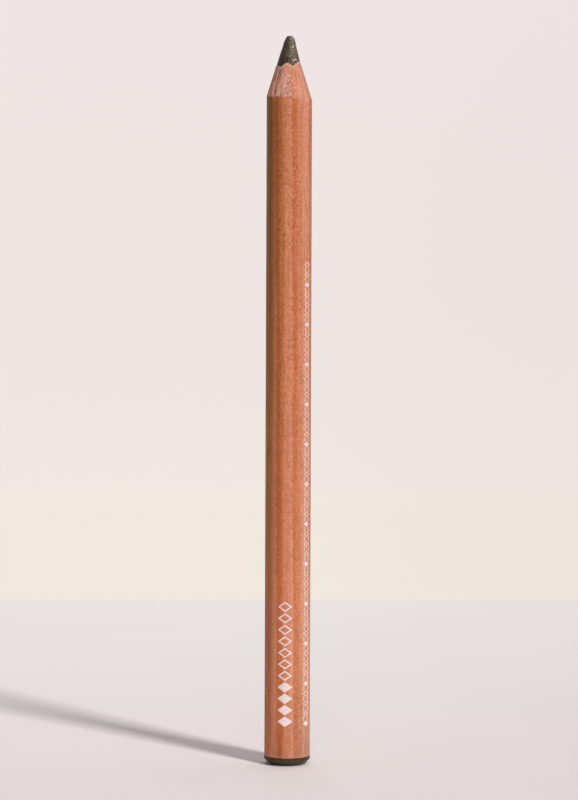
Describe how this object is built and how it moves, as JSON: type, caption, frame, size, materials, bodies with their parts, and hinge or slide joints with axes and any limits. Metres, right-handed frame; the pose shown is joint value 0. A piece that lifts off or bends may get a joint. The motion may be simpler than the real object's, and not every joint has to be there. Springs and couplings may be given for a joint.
{
  "type": "eyeliner pencil",
  "caption": "Round wooden cosmetic pencil with a sharpened soft core and a chamfered, lacquer-dipped end, standing point up.",
  "frame": {"origin": "centre of the flat standing face of the dipped end", "axes": "+Z along the barrel to the sharpened tip; the glue joint of the two wooden halves lies in the XZ plane; -Y is the side the picture shows, with +X to its right"},
  "size_m": [0.0078, 0.0078, 0.1248],
  "materials": {
    "varnished_cedar": "clear satin varnish on the barrel, raw and fibrous on the sharpened cone",
    "pigment": "waxy, dull, with a fine sparkle",
    "dip_lacquer": "satin lacquer"
  },
  "bodies": {
    "root": {"casing_half_front": "varnished_cedar", "casing_half_back": "varnished_cedar", "pigment_core": "pigment", "end_dip": "dip_lacquer"}
  },
  "joints": []
}
